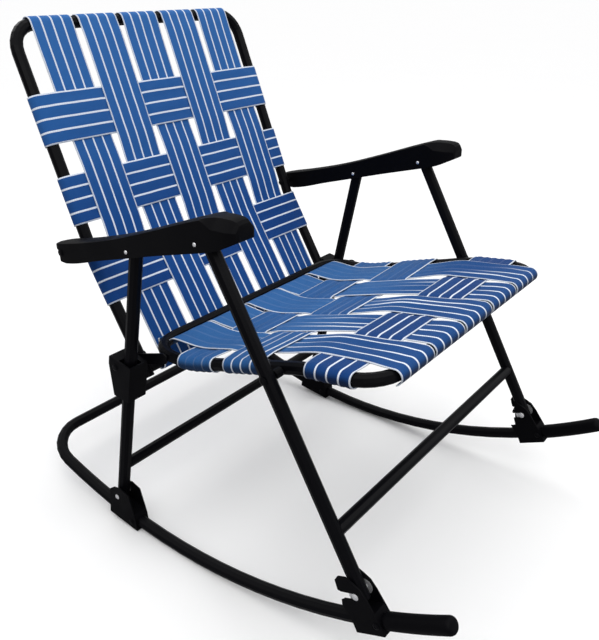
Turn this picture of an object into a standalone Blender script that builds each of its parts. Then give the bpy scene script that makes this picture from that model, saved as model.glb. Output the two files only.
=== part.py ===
"""Folding camp rocking chair: steel tube frame on two curved rockers, woven webbing seat and back.

Metres, +Z up. The chair faces -Y, the sitter's left is +X, the floor is Z = 0.
Side-view positions are (Y, Z) pairs. The frame is symmetric about X = 0.
"""

import math

import bmesh
import bpy
from mathutils import Matrix, Vector

# ---------------------------------------------------------------- driving dimensions
LEG_X = 0.274            # mid-plane of the legs and rockers
ARM_X = 0.275            # mid-plane of an armrest
FRAME_X = 0.2405         # centre-line of the seat and back side tubes
LEG_R = 0.010            # 20 mm tube: legs and rockers
FRAME_R = 0.0095         # 19 mm tube: seat, back and cross bars
GAP = 0.0003             # clearance between pieces that touch

ROCKER_RADIUS = 0.880    # bend radius of the rocker, on its centre-line
ROCKER_Y = 0.0730        # where the rocker touches the floor
ROCKER_FRONT = 0.512     # length along the tube from the floor contact to the front end
ROCKER_REAR = 0.3505     # same, to the rear cross piece
ROCKER_BEND = 0.065      # corner radius at the rear

ARM_FRONT = (-0.0358, 0.5613)    # pivot: armrest on front leg
ARM_REAR = (0.1028, 0.5195)      # pivot: armrest on rear leg
ARM_BACK = (0.2575, 0.4840)      # pivot: armrest on back frame
FRONT_FOOT = (-0.2813, 0.1298)   # hook pin of the front leg
REAR_FOOT = (0.2025, 0.0541)     # pivot: rear leg on rocker
SEAT_DROP = 0.190                # along the front leg from the armrest pivot to the seat pivot

LEG_BAR_FRONT = 0.4100   # along the front leg from the armrest pivot to its cross bar
LEG_BAR_REAR = 0.4090    # same on the rear leg

BACK_TOP = (0.383, 0.793)
BACK_KINK = (0.2475, 0.460)
BACK_CORNER = 0.040
SEAT_REAR = (0.135, 0.343)
SEAT_DIP = (0.052, 0.343)
SEAT_RISE = (-0.162, 0.407)
SEAT_FRONT = (-0.277, 0.4215)
SEAT_CORNER = 0.050

STRAP_W = 0.075          # 3 inch webbing
STRAP_T = 0.0012
STRAP_PITCH = 0.0865
BACK_ROWS = (0.142, 0.265, 0.395)   # cross straps, along the back from its top bar
SEAT_ROWS = (0.106, 0.2017, 0.348)   # cross straps, along the seat from its rear bar

SIDES = (("right", -1.0), ("left", 1.0))


# ---------------------------------------------------------------- side-view geometry
def add2(p, q, k=1.0):
    """Point p moved by k times the vector q."""
    return (p[0] + k * q[0], p[1] + k * q[1])


def unit2(p, q):
    """Unit vector from p to q."""
    d = math.hypot(q[0] - p[0], q[1] - p[1])
    return ((q[0] - p[0]) / d, (q[1] - p[1]) / d)


FRONT_DIR = unit2(ARM_FRONT, FRONT_FOOT)
REAR_DIR = unit2(ARM_REAR, REAR_FOOT)
SEAT_PIVOT = add2(ARM_FRONT, FRONT_DIR, SEAT_DROP)
# Armrest and seat are opposite sides of a parallelogram, front leg and back frame the others.
HINGE = (SEAT_PIVOT[0] + ARM_BACK[0] - ARM_FRONT[0], SEAT_PIVOT[1] + ARM_BACK[1] - ARM_FRONT[1])
BACK_DIR = unit2(BACK_KINK, HINGE)
BACK_BAR = add2(HINGE, BACK_DIR, 0.024)
BACK_END = add2(HINGE, BACK_DIR, 0.036)


def fillet(points, radii, steps=6):
    """Polyline through the points with each inner corner replaced by an arc."""
    out = [points[0]]
    for i in range(1, len(points) - 1):
        p = points[i]
        a = unit2(p, points[i - 1])
        b = unit2(p, points[i + 1])
        half = 0.5 * math.acos(max(-1.0, min(1.0, a[0] * b[0] + a[1] * b[1])))
        reach = radii[i - 1] / math.tan(half)
        m = (a[0] + b[0], a[1] + b[1])
        k = radii[i - 1] / math.sin(half) / math.hypot(*m)
        centre = add2(p, m, k)
        start = add2(p, a, reach)
        end = add2(p, b, reach)
        t0 = math.atan2(start[1] - centre[1], start[0] - centre[0])
        t1 = math.atan2(end[1] - centre[1], end[0] - centre[0])
        turn = (t1 - t0 + math.pi) % (2 * math.pi) - math.pi
        for j in range(steps + 1):
            t = t0 + turn * j / steps
            out.append(add2(centre, (math.cos(t), math.sin(t)), radii[i - 1]))
    out.append(points[-1])
    return out


class Profile:
    """A side-view line measured by length; the normal points to the sitter's side."""

    def __init__(self, points):
        self.points = points
        self.length = [0.0]
        for a, b in zip(points, points[1:]):
            self.length.append(self.length[-1] + math.hypot(b[0] - a[0], b[1] - a[1]))
        self.total = self.length[-1]

    def at(self, s):
        """Point and tangent at length s."""
        i = 0
        while i < len(self.points) - 2 and self.length[i + 1] < s:
            i += 1
        a, b = self.points[i], self.points[i + 1]
        d = unit2(a, b)
        return add2(a, d, s - self.length[i]), self.tangent(s)

    def tangent(self, s):
        """Direction, averaged over 8 mm so that a strap bends smoothly."""
        lo, hi = max(0.0, s - 0.004), min(self.total, s + 0.004)
        return unit2(self.raw(lo), self.raw(hi))

    def raw(self, s):
        i = 0
        while i < len(self.points) - 2 and self.length[i + 1] < s:
            i += 1
        return add2(self.points[i], unit2(self.points[i], self.points[i + 1]), s - self.length[i])


BACK_LINE = Profile(fillet([BACK_TOP, BACK_KINK, BACK_END], [0.20], 8))
SEAT_LINE = Profile(fillet([SEAT_REAR, SEAT_DIP, SEAT_RISE, SEAT_FRONT], [0.16, 0.22], 7))
BACK_BAR_S = BACK_LINE.total - 0.012


# ---------------------------------------------------------------- scene helpers
for old in list(bpy.data.objects):
    bpy.data.objects.remove(old, do_unlink=True)

CHAIR = bpy.data.collections.new("camp_rocking_chair")
CUTTERS = bpy.data.collections.new("cutters")
bpy.context.scene.collection.children.link(CHAIR)
bpy.context.scene.collection.children.link(CUTTERS)

SIDE_VIEW = Matrix(((0, 0, 1, 0), (1, 0, 0, 0), (0, 1, 0, 0), (0, 0, 0, 1)))


def material(name, colour, roughness, metallic=0.0):
    mat = bpy.data.materials.new(name)
    mat.use_nodes = True
    shader = mat.node_tree.nodes["Principled BSDF"]
    shader.inputs["Base Color"].default_value = (*colour, 1.0)
    shader.inputs["Roughness"].default_value = roughness
    shader.inputs["Metallic"].default_value = metallic
    return mat


POWDER_COAT = ("powder_coat", (0.006, 0.006, 0.008), 0.42, 0.0)
PLASTIC = ("black_plastic", (0.012, 0.012, 0.013), 0.55, 0.0)
ZINC = ("zinc_steel", (0.75, 0.75, 0.76), 0.30, 1.0)
BLUE = ("blue_webbing", (0.035, 0.11, 0.38), 0.75, 0.0)


def keep(obj, look):
    """Puts a finished object in the chair's collection with its own material."""
    for col in list(obj.users_collection):
        col.objects.unlink(obj)
    CHAIR.objects.link(obj)
    obj.data.materials.clear()
    obj.data.materials.append(material(obj.name + "_" + look[0], *look[1:]))
    return obj


def tube_curve(name, points, radius, cyclic=False, ring=3):
    """A round tube along 3-D points, as a curve object."""
    curve = bpy.data.curves.new(name, "CURVE")
    curve.dimensions = "3D"
    curve.bevel_depth = radius
    curve.bevel_resolution = ring
    curve.use_fill_caps = not cyclic
    curve.resolution_u = 1
    curve.render_resolution_u = 0
    curve.twist_mode = "MINIMUM"
    spline = curve.splines.new("POLY")
    spline.points.add(len(points) - 1)
    for target, p in zip(spline.points, points):
        target.co = (*p, 1.0)
    spline.use_cyclic_u = cyclic
    obj = bpy.data.objects.new(name, curve)
    bpy.context.scene.collection.objects.link(obj)
    return obj


def to_mesh(obj, name):
    """Turns a curve object into a closed mesh object with the same placing."""
    bpy.context.view_layer.update()
    graph = bpy.context.evaluated_depsgraph_get()
    mesh = bpy.data.meshes.new_from_object(obj.evaluated_get(graph))
    bm = bmesh.new()
    bm.from_mesh(mesh)
    bmesh.ops.remove_doubles(bm, verts=bm.verts, dist=0.00002)
    bmesh.ops.recalc_face_normals(bm, faces=bm.faces)
    bm.to_mesh(mesh)
    bm.free()
    solid = bpy.data.objects.new(name, mesh)
    solid.matrix_world = obj.matrix_world.copy()
    bpy.context.scene.collection.objects.link(solid)
    old = obj.data
    bpy.data.objects.remove(obj, do_unlink=True)
    bpy.data.curves.remove(old)
    return solid


def tube(name, points, radius, cyclic=False, ring=3):
    obj = to_mesh(tube_curve(name + "_path", points, radius, cyclic, ring), name)
    obj.data.shade_smooth()
    obj.data.set_sharp_from_angle(angle=math.radians(40))
    return obj


def rod(name, x0, x1, centre, radius, sides=12):
    """A cylinder along X at a side-view position."""
    bm = bmesh.new()
    bmesh.ops.create_cone(bm, cap_ends=True, segments=sides, radius1=radius, radius2=radius,
                          depth=abs(x1 - x0))
    mesh = bpy.data.meshes.new(name)
    bm.to_mesh(mesh)
    bm.free()
    obj = bpy.data.objects.new(name, mesh)
    bpy.context.scene.collection.objects.link(obj)
    obj.location = (0.5 * (x0 + x1), centre[0], centre[1])
    obj.rotation_euler = (0.0, math.radians(90), 0.0)
    obj.data.shade_smooth()
    obj.data.set_sharp_from_angle(angle=math.radians(40))
    return obj


def plate(name, outline, x0, x1):
    """A closed side-view outline extruded between two X planes."""
    curve = bpy.data.curves.new(name + "_outline", "CURVE")
    curve.dimensions = "2D"
    curve.fill_mode = "BOTH"
    curve.extrude = 0.5 * abs(x1 - x0)
    curve.resolution_u = 1
    curve.render_resolution_u = 0
    spline = curve.splines.new("POLY")
    spline.points.add(len(outline) - 1)
    for target, p in zip(spline.points, outline):
        target.co = (p[0], p[1], 0.0, 1.0)
    spline.use_cyclic_u = True
    flat = bpy.data.objects.new(name + "_outline", curve)
    bpy.context.scene.collection.objects.link(flat)
    flat.matrix_world = Matrix.Translation((0.5 * (x0 + x1), 0, 0)) @ SIDE_VIEW
    return to_mesh(flat, name)


def box(name, low, high):
    bm = bmesh.new()
    bmesh.ops.create_cube(bm, size=1.0)
    size = Vector(high) - Vector(low)
    bmesh.ops.scale(bm, verts=bm.verts, vec=size)
    mesh = bpy.data.meshes.new(name)
    bm.to_mesh(mesh)
    bm.free()
    obj = bpy.data.objects.new(name, mesh)
    bpy.context.scene.collection.objects.link(obj)
    obj.location = (Vector(low) + Vector(high)) * 0.5
    return obj


def cutter(obj):
    for col in list(obj.users_collection):
        col.objects.unlink(obj)
    CUTTERS.objects.link(obj)
    obj.hide_render = True
    obj.display_type = "WIRE"
    return obj


def combine(obj, other, operation="DIFFERENCE"):
    mod = obj.modifiers.new(other.name, "BOOLEAN")
    mod.operation = operation
    mod.object = other
    return obj


def set_origin(obj, centre):
    """Moves the object's origin to a pivot axis without moving its shape."""
    bpy.context.view_layer.update()
    target = Vector((0.0, centre[0], centre[1]))
    shift = obj.matrix_world.inverted() @ target
    obj.data.transform(Matrix.Translation(-shift))
    obj.matrix_world = obj.matrix_world @ Matrix.Translation(shift)


def straight(p, q, x):
    return [(x, p[0], p[1]), (x, q[0], q[1])]


# ---------------------------------------------------------------- bores
BORE_ARM_FRONT = cutter(rod("bore_arm_front", -0.33, 0.33, ARM_FRONT, 0.0035 + GAP))
BORE_ARM_REAR = cutter(rod("bore_arm_rear", -0.33, 0.33, ARM_REAR, 0.0035 + GAP))
BORE_ARM_BACK = cutter(rod("bore_arm_back", -0.33, 0.33, ARM_BACK, 0.0035 + GAP))
BORE_SEAT = cutter(rod("bore_seat_pivot", -0.33, 0.33, SEAT_PIVOT, 0.0035 + GAP))
BORE_HINGE = cutter(rod("bore_hinge", -0.33, 0.33, HINGE, 0.0035 + GAP))
BORE_FRONT_FOOT = cutter(rod("bore_front_foot", -0.33, 0.33, FRONT_FOOT, 0.0040 + GAP))
BORE_REAR_FOOT = cutter(rod("bore_rear_foot", -0.33, 0.33, REAR_FOOT, 0.0035 + GAP))


# ---------------------------------------------------------------- rockers
def on_rocker(s, n=0.0):
    """Side-view point at arc length s behind the floor contact, n above the tube's centre-line."""
    t = s / ROCKER_RADIUS
    r = ROCKER_RADIUS - n
    return (ROCKER_Y + r * math.sin(t), LEG_R + ROCKER_RADIUS - r * math.cos(t))


def rocker_s(p):
    """Arc length on the rocker opposite a side-view point."""
    return ROCKER_RADIUS * math.atan2(p[0] - ROCKER_Y, LEG_R + ROCKER_RADIUS - p[1])


def rocker_path():
    side = [(-LEG_X, -ROCKER_FRONT + i * 0.042) for i in range(20)]
    side = [p for p in side if p[1] < ROCKER_REAR - ROCKER_BEND - 0.012]
    bend = []
    for i in range(8):
        t = math.radians(90 * i / 7)
        bend.append((-LEG_X + ROCKER_BEND * (1 - math.cos(t)),
                     ROCKER_REAR - ROCKER_BEND * (1 - math.sin(t))))
    half = side + bend
    flat = half + [(-x, s) for x, s in reversed(half)]
    return [(x, *on_rocker(s)) for x, s in flat]


rocker = keep(tube("rocker_tube", rocker_path(), LEG_R), POWDER_COAT)

FRONT_S = rocker_s(FRONT_FOOT)
REAR_S = rocker_s(REAR_FOOT)
FRONT_BRACKET = [(-0.0265, -0.0150), (0.020, -0.0150), (0.021, 0.000), (0.029, 0.026), (0.027, 0.034),
                 (0.0215, 0.0355), (0.0215, 0.0460), (0.0285, 0.049), (0.0275, 0.064), (0.020, 0.070),
                 (0.006, 0.070), (-0.004, 0.061), (-0.013, 0.052), (-0.018, 0.038), (-0.023, 0.015),
                 (-0.0255, 0.003)]
REAR_BRACKET = [(0.018, -0.0122), (0.020, 0.040), (0.010, 0.050), (-0.007, 0.056), (-0.028, 0.053),
                (-0.041, 0.023), (-0.046, 0.010), (-0.050, -0.0122)]
CHEEK = 0.0135           # half width of a bracket
SLOT = 0.0115            # half width of the room between its cheeks


def bracket(name, outline, foot_s, side):
    x = side * LEG_X
    shape = [on_rocker(foot_s + s, n) for s, n in outline]
    body = plate(name, shape, x - CHEEK, x + CHEEK)
    room = [on_rocker(foot_s + s, n) for s, n in
            ((-0.09, 0.0135), (0.09, 0.0135), (0.09, 0.10), (-0.09, 0.10))]
    combine(body, cutter(plate(name + "_room", room, x - SLOT, x + SLOT)))
    path = [(x, *on_rocker(foot_s - 0.09 + 0.03 * i)) for i in range(7)]
    combine(body, cutter(tube(name + "_seat", path, LEG_R + GAP)))
    return body


for tag, side in SIDES:
    x = side * LEG_X
    # Front bracket: its slot opens to the rear, so that the leg's pin can leave it to fold.
    front = bracket("front_bracket_" + tag, FRONT_BRACKET, FRONT_S, side)
    mouth = [on_rocker(FRONT_S + s, n) for s, n in
             ((0.0, 0.0368), (0.05, 0.0358), (0.05, 0.0475), (0.0, 0.0454))]
    combine(front, cutter(plate("mouth_" + tag, mouth, x - 0.03, x + 0.03)))
    # The inner cheek is plain: only the outer one carries the hook.
    plain = [on_rocker(FRONT_S + s, n) for s, n in
             ((0.0185, 0.022), (0.060, 0.022), (0.060, 0.10), (-0.002, 0.10), (0.008, 0.060), (0.0165, 0.050))]
    combine(front, cutter(plate("plain_" + tag, plain, side * 0.24, side * LEG_X)))
    combine(front, BORE_FRONT_FOOT)
    bolt_at = on_rocker(FRONT_S - 0.018)
    bore = cutter(rod("bore_front_bolt_" + tag, x - 0.03, x + 0.03, bolt_at, 0.003 + GAP))
    combine(front, bore)
    combine(rocker, bore)
    keep(front, PLASTIC)
    rear = bracket("rear_bracket_" + tag, REAR_BRACKET, REAR_S, side)
    combine(rear, BORE_REAR_FOOT)
    bore = cutter(rod("bore_rear_bolt_" + tag, x - 0.03, x + 0.03, on_rocker(REAR_S - 0.036),
                      0.003 + GAP))
    combine(rear, bore)
    combine(rocker, bore)
    keep(rear, PLASTIC)
    # End sleeve pushed over the open front end of the tube.
    path = [(x, *on_rocker(-ROCKER_FRONT - 0.0035 + 0.0170 * i)) for i in range(7)]
    sleeve = tube("rocker_sleeve_" + tag, path, LEG_R + 0.0022)
    path = [(x, *on_rocker(-ROCKER_FRONT - GAP + 0.0165 * i)) for i in range(8)]
    combine(sleeve, cutter(tube("sleeve_bore_" + tag, path, LEG_R + GAP)))
    keep(sleeve, PLASTIC)


# ---------------------------------------------------------------- rivets, bolts and pins
def rivet(name, x0, x1, centre, radius, head, head_t=0.0018, look=ZINC, collars=(), collar=0.0):
    """A pin along X with a low head outside each end, one turned solid; collars are pairs of
    X values between which it is wider."""
    profile = [(0.0, x0 - head_t), (0.55 * head, x0 - head_t), (head, x0 - 0.25 * head_t), (head, x0),
               (radius, x0)]
    for a, b in collars:
        profile += [(radius, a), (collar, a), (collar, b), (radius, b)]
    profile += [(radius, x1), (head, x1), (head, x1 + 0.25 * head_t),
                (0.55 * head, x1 + head_t), (0.0, x1 + head_t)]
    bm = bmesh.new()
    previous = None
    for r, h in profile:
        vert = bm.verts.new((r, 0.0, -h))
        if previous is not None:
            bm.edges.new((previous, vert))
        previous = vert
    mesh = bpy.data.meshes.new(name)
    bm.to_mesh(mesh)
    bm.free()
    obj = bpy.data.objects.new(name, mesh)
    bpy.context.scene.collection.objects.link(obj)
    screw = obj.modifiers.new("turn", "SCREW")
    screw.axis = "Z"
    screw.steps = 12
    screw.render_steps = 12
    screw.use_merge_vertices = True
    screw.merge_threshold = 0.0001
    screw.use_normal_calculate = True
    screw.use_normal_flip = bool(collars)
    obj.location = (0.0, centre[0], centre[1])
    obj.rotation_euler = (0.0, math.radians(-90), 0.0)
    return keep(obj, look)


def side_rivet(name, inner, outer, centre, side, radius, head, **extra):
    """A rivet between an inner and an outer distance from the middle plane."""
    if side > 0:
        return rivet(name, inner, outer, centre, radius, head, **extra)
    return rivet(name, -outer, -inner, centre, radius, head, **extra)


for tag, side in SIDES:
    # The hook pin has a shoulder on each side of the leg that keeps the leg between the cheeks.
    x = side * LEG_X
    shoulders = [(x - SLOT + GAP, x - LEG_R - GAP), (x + LEG_R + GAP, x + SLOT - GAP)]
    side_rivet("front_hook_pin_" + tag, LEG_X - CHEEK - GAP, LEG_X + CHEEK + GAP, FRONT_FOOT, side,
               0.0040, 0.0052, collars=shoulders, collar=0.0115)
    side_rivet("rear_foot_rivet_" + tag, LEG_X - CHEEK - GAP, LEG_X + CHEEK + GAP, REAR_FOOT, side,
               0.0035, 0.0047)
    side_rivet("front_bracket_bolt_" + tag, LEG_X - CHEEK - GAP, LEG_X + CHEEK + GAP,
               on_rocker(FRONT_S - 0.018), side, 0.0030, 0.0050, look=POWDER_COAT)
    side_rivet("rear_bracket_bolt_" + tag, LEG_X - CHEEK - GAP, LEG_X + CHEEK + GAP,
               on_rocker(REAR_S - 0.036), side, 0.0030, 0.0050, look=POWDER_COAT)


# ---------------------------------------------------------------- legs
def leg(name, top, foot, direction, side, bores):
    p = add2(top, direction, -0.0085)
    q = add2(foot, direction, 0.0110)
    obj = tube(name, straight(p, q, side * LEG_X), LEG_R)
    set_origin(obj, top)
    for bore in bores:
        combine(obj, bore)
    return keep(obj, POWDER_COAT)


front_legs = {}
rear_legs = {}
for tag, side in SIDES:
    front_legs[tag] = leg("front_leg_" + tag, ARM_FRONT, FRONT_FOOT, FRONT_DIR, side,
                          (BORE_ARM_FRONT, BORE_SEAT, BORE_FRONT_FOOT))
    rear_legs[tag] = leg("rear_leg_" + tag, ARM_REAR, REAR_FOOT, REAR_DIR, side,
                         (BORE_ARM_REAR, BORE_REAR_FOOT))


def cross_bar(name, top, direction, drop):
    """A tube between the two legs with its ends coped to fit them."""
    at = add2(top, direction, drop)
    bar = tube(name, [(-LEG_X, *at), (LEG_X, *at)], FRAME_R)
    for tag, side in SIDES:
        a = add2(top, direction, drop - 0.05)
        b = add2(top, direction, drop + 0.05)
        combine(bar, cutter(tube(name + "_cope_" + tag, straight(a, b, side * LEG_X), LEG_R + GAP)))
        past = box(name + "_trim_" + tag, (0, at[0] - 0.03, at[1] - 0.03), (0.03, at[0] + 0.03, at[1] + 0.03))
        past.location.x = side * (LEG_X + 0.015)
        combine(bar, cutter(past))
    return keep(bar, POWDER_COAT)


cross_bar("front_leg_cross_bar", ARM_FRONT, FRONT_DIR, LEG_BAR_FRONT)
cross_bar("rear_leg_cross_bar", ARM_REAR, REAR_DIR, LEG_BAR_REAR)


# ---------------------------------------------------------------- back frame
def back_path():
    """Inverted U: up one side, across the top, down the other."""
    low = [s for s in BACK_LINE.length if s > BACK_CORNER + 0.02]
    down = [(-FRAME_X, *BACK_LINE.raw(s)) for s in reversed(low)]
    corner = []
    for i in range(8):
        t = math.radians(90 * i / 7)
        corner.append((-FRAME_X + BACK_CORNER * (1 - math.cos(t)),
                       *BACK_LINE.raw(BACK_CORNER * (1 - math.sin(t)))))
    half = down + corner
    return half + [(-p[0], p[1], p[2]) for p in reversed(half)]


back = tube("back_frame", back_path(), FRAME_R)
set_origin(back, HINGE)
combine(back, BORE_ARM_BACK)
combine(back, BORE_HINGE)
keep(back, POWDER_COAT)

low_bar = tube("back_lower_bar", [(-FRAME_X, *BACK_BAR), (FRAME_X, *BACK_BAR)], 0.0080)
for tag, side in SIDES:
    a = add2(BACK_BAR, BACK_DIR, -0.05)
    b = add2(BACK_BAR, BACK_DIR, 0.05)
    combine(low_bar, cutter(tube("low_cope_" + tag, straight(a, b, side * FRAME_X), FRAME_R + GAP)))
    past = box("low_trim_" + tag, (0, BACK_BAR[0] - 0.03, BACK_BAR[1] - 0.03),
               (0.03, BACK_BAR[0] + 0.03, BACK_BAR[1] + 0.03))
    past.location.x = side * (FRAME_X + 0.015)
    combine(low_bar, cutter(past))
keep(low_bar, POWDER_COAT)


# ---------------------------------------------------------------- seat frame
def seat_path():
    """Closed loop with rounded corners that follows the seat's side line."""
    r = SEAT_CORNER
    end = SEAT_LINE.total
    corner_rear = []
    corner_front = []
    for i in range(8):
        t = math.radians(90 * i / 7)
        corner_rear.append((-FRAME_X + r * (1 - math.sin(t)), r * (1 - math.cos(t))))
        corner_front.append((-FRAME_X + r * (1 - math.cos(t)), end - r * (1 - math.sin(t))))
    side = [(-FRAME_X, s) for s in SEAT_LINE.length if r + 0.008 < s < end - r - 0.008]
    half = corner_rear + side + corner_front
    loop = half + [(-x, s) for x, s in reversed(half)]
    return [(x, *SEAT_LINE.raw(s)) for x, s in loop]


seat = tube("seat_frame", seat_path(), FRAME_R, cyclic=True)
set_origin(seat, SEAT_PIVOT)
combine(seat, BORE_SEAT)
keep(seat, POWDER_COAT)

# Lug: flat steel strap from the seat's side tube back to the hinge, on the tube's outer face.
LUG_IN = FRAME_X + FRAME_R + GAP
LUG_OUT = LUG_IN + 0.0025
SLIDER_IN = LUG_OUT + GAP


def capsule(p, q, radius, steps=8):
    """Outline with round ends about two points."""
    base = math.atan2(q[1] - p[1], q[0] - p[0])
    out = []
    for centre, start in ((q, base - math.pi / 2), (p, base + math.pi / 2)):
        for i in range(steps + 1):
            t = start + math.pi * i / steps
            out.append(add2(centre, (math.cos(t), math.sin(t)), radius))
    return out


for tag, side in SIDES:
    lug = plate("seat_hinge_lug_" + tag, capsule((0.094, 0.3415), HINGE, 0.0085),
                side * LUG_IN, side * LUG_OUT)
    combine(lug, BORE_HINGE)
    keep(lug, POWDER_COAT)

# ---------------------------------------------------------------- sliders on the rear legs
ACROSS = (REAR_DIR[1] * -1.0, REAR_DIR[0])   # square to the rear leg, towards the back
HINGE_T = (HINGE[0] - ARM_REAR[0]) * REAR_DIR[0] + (HINGE[1] - ARM_REAR[1]) * REAR_DIR[1]
HINGE_Q = (HINGE[0] - ARM_REAR[0]) * ACROSS[0] + (HINGE[1] - ARM_REAR[1]) * ACROSS[1]


def on_leg(t, q):
    """Side-view point t along the rear leg from the hinge, q behind the leg's axis."""
    return add2(add2(ARM_REAR, REAR_DIR, HINGE_T + t), ACROSS, q)


LEG_ROOM = 0.0125
SLIDER_OUT = LEG_X + LEG_R + 0.0045
for tag, side in SIDES:
    shape = [on_leg(t, q) for t, q in
             ((-0.016, -0.0155), (0.050, -0.0155), (0.053, 0.0170), (0.000, 0.0325), (-0.014, 0.0325))]
    slider = plate("leg_slider_" + tag, shape, side * SLIDER_IN, side * SLIDER_OUT)
    room = [on_leg(t, q) for t, q in
            ((-0.05, -LEG_ROOM), (0.12, -LEG_ROOM), (0.12, LEG_ROOM), (-0.05, LEG_ROOM))]
    combine(slider, cutter(plate("slider_room_" + tag, room, side * (LEG_X - LEG_R - 0.001),
                                 side * (LEG_X + LEG_R + 0.002))))
    wide = LEG_ROOM + 0.0003
    open_side = [on_leg(t, q) for t, q in ((0.016, -wide), (0.12, -wide), (0.12, wide), (0.016, wide))]
    combine(slider, cutter(plate("slider_open_" + tag, open_side, side * 0.24, side * LEG_X)))
    combine(slider, BORE_HINGE)
    keep(slider, PLASTIC)

# ---------------------------------------------------------------- armrests
ARM_STATIONS = [  # Y, half width, top, bottom
    (-0.0995, 0.0110, 0.5925, 0.5760),
    (-0.0955, 0.0170, 0.5965, 0.5725),
    (-0.0870, 0.0215, 0.6000, 0.5680),
    (-0.0730, 0.0235, 0.6005, 0.5620),
    (-0.0500, 0.0235, 0.5970, 0.5550),
    (-0.0100, 0.0215, 0.5830, 0.5425),
    (0.0350, 0.0195, 0.5665, 0.5300),
    (0.0800, 0.0185, 0.5505, 0.5170),
    (0.1250, 0.0175, 0.5350, 0.5040),
    (0.1700, 0.0170, 0.5215, 0.4910),
    (0.2150, 0.0165, 0.5095, 0.4770),
    (0.2500, 0.0163, 0.5015, 0.4690),
    (0.2640, 0.0155, 0.4980, 0.4680),
    (0.2740, 0.0120, 0.4950, 0.4740),
    (0.2800, 0.0070, 0.4930, 0.4800),
]
ARM_WALL = 0.0025


def arm_ring(y, w, top, bottom, inset, drop):
    """Cross-section of the armrest: straight sides and a crowned top with round edges."""
    w = w - inset
    top = top - inset
    r = min(0.008, 0.6 * w, 0.45 * (top - bottom))
    pts = [(-w, bottom - drop)]
    for i in range(4):
        t = math.radians(90 * i / 3)
        pts.append((-w + r * (1 - math.cos(t)), top - 0.0015 - r * (1 - math.sin(t))))
    pts.append((0.0, top))
    for i in range(4):
        t = math.radians(90 * (3 - i) / 3)
        pts.append((w - r * (1 - math.cos(t)), top - 0.0015 - r * (1 - math.sin(t))))
    pts.append((w, bottom - drop))
    return [(x, y, z) for x, z in pts]


def loft(name, rings, x):
    """Closed solid through rings with the same number of points."""
    bm = bmesh.new()
    rows = [[bm.verts.new(p) for p in ring] for ring in rings]
    n = len(rows[0])
    for a, b in zip(rows, rows[1:]):
        for i in range(n):
            j = (i + 1) % n
            bm.faces.new((a[i], a[j], b[j], b[i]))
    bm.faces.new(rows[0])
    bm.faces.new(rows[-1])
    bmesh.ops.recalc_face_normals(bm, faces=bm.faces)
    mesh = bpy.data.meshes.new(name)
    bm.to_mesh(mesh)
    bm.free()
    obj = bpy.data.objects.new(name, mesh)
    bpy.context.scene.collection.objects.link(obj)
    obj.location = (x, 0.0, 0.0)
    return obj


for tag, side in SIDES:
    arm = loft("armrest_" + tag, [arm_ring(*st, 0.0, 0.0) for st in ARM_STATIONS], side * ARM_X)
    inner = [arm_ring(*st, ARM_WALL, 0.02) for st in ARM_STATIONS[3:-3]]
    combine(arm, cutter(loft("armrest_room_" + tag, inner, side * ARM_X)))
    arm.data.shade_smooth()
    arm.data.set_sharp_from_angle(angle=math.radians(35))
    set_origin(arm, ARM_REAR)
    combine(arm, BORE_ARM_FRONT)
    combine(arm, BORE_ARM_REAR)
    combine(arm, BORE_ARM_BACK)
    keep(arm, PLASTIC)
    side_rivet("arm_front_rivet_" + tag, ARM_X - 0.0238 - GAP, ARM_X + 0.0238 + GAP, ARM_FRONT, side,
               0.0035, 0.0046)
    side_rivet("arm_rear_rivet_" + tag, ARM_X - 0.0184 - GAP, ARM_X + 0.0184 + GAP, ARM_REAR, side,
               0.0035, 0.0046)
    side_rivet("arm_back_bolt_" + tag, FRAME_X - FRAME_R - GAP, ARM_X + 0.0166 + GAP, ARM_BACK, side,
               0.0035, 0.0056, look=POWDER_COAT)
    side_rivet("seat_pivot_bolt_" + tag, FRAME_X - FRAME_R - GAP, LEG_X + LEG_R + GAP, SEAT_PIVOT, side,
               0.0035, 0.0058, look=POWDER_COAT)
    side_rivet("hinge_pin_" + tag, FRAME_X - FRAME_R - GAP, SLIDER_OUT + GAP, HINGE, side,
               0.0035, 0.0056, head_t=0.0015, look=POWDER_COAT)
    spacer = rod("seat_pivot_spacer_" + tag, side * (FRAME_X + FRAME_R + GAP), side * (LEG_X - LEG_R - GAP),
                 SEAT_PIVOT, 0.0070)
    combine(spacer, BORE_SEAT)
    keep(spacer, PLASTIC)


# ---------------------------------------------------------------- webbing
WRAP = FRAME_R + 0.0007 + 0.5 * STRAP_T         # centre of a strap that lies on a frame tube
BASE = WRAP + 0.0011                         # mid height of the weave
LIFT = 0.0011                                # half the step between an upper and an under strap
LONG_X = [STRAP_PITCH * k for k in (-2, -1, 0, 1, 2)]


def ribbon(name, path, width, frame):
    """A flat strap: an open 2-D path extruded to its width, thickened with Solidify."""
    curve = bpy.data.curves.new(name + "_path", "CURVE")
    curve.dimensions = "2D"
    curve.fill_mode = "NONE"
    curve.extrude = 0.5 * width
    curve.resolution_u = 1
    curve.render_resolution_u = 0
    spline = curve.splines.new("POLY")
    spline.points.add(len(path) - 1)
    for target, p in zip(spline.points, path):
        target.co = (p[0], p[1], 0.0, 1.0)
    obj = bpy.data.objects.new(name, curve)
    bpy.context.scene.collection.objects.link(obj)
    obj.matrix_world = frame
    solid = obj.modifiers.new("thickness", "SOLIDIFY")
    solid.thickness = STRAP_T
    solid.offset = 0.0
    return keep(obj, BLUE)


def wrap(centre, start, turn, radius, steps=6):
    """Arc about a tube's centre, from a start angle, turning through an angle (degrees)."""
    out = []
    for i in range(1, steps + 1):
        t = math.radians(start + turn * i / steps)
        out.append(add2(centre, (math.cos(t), math.sin(t)), radius))
    return out


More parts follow.
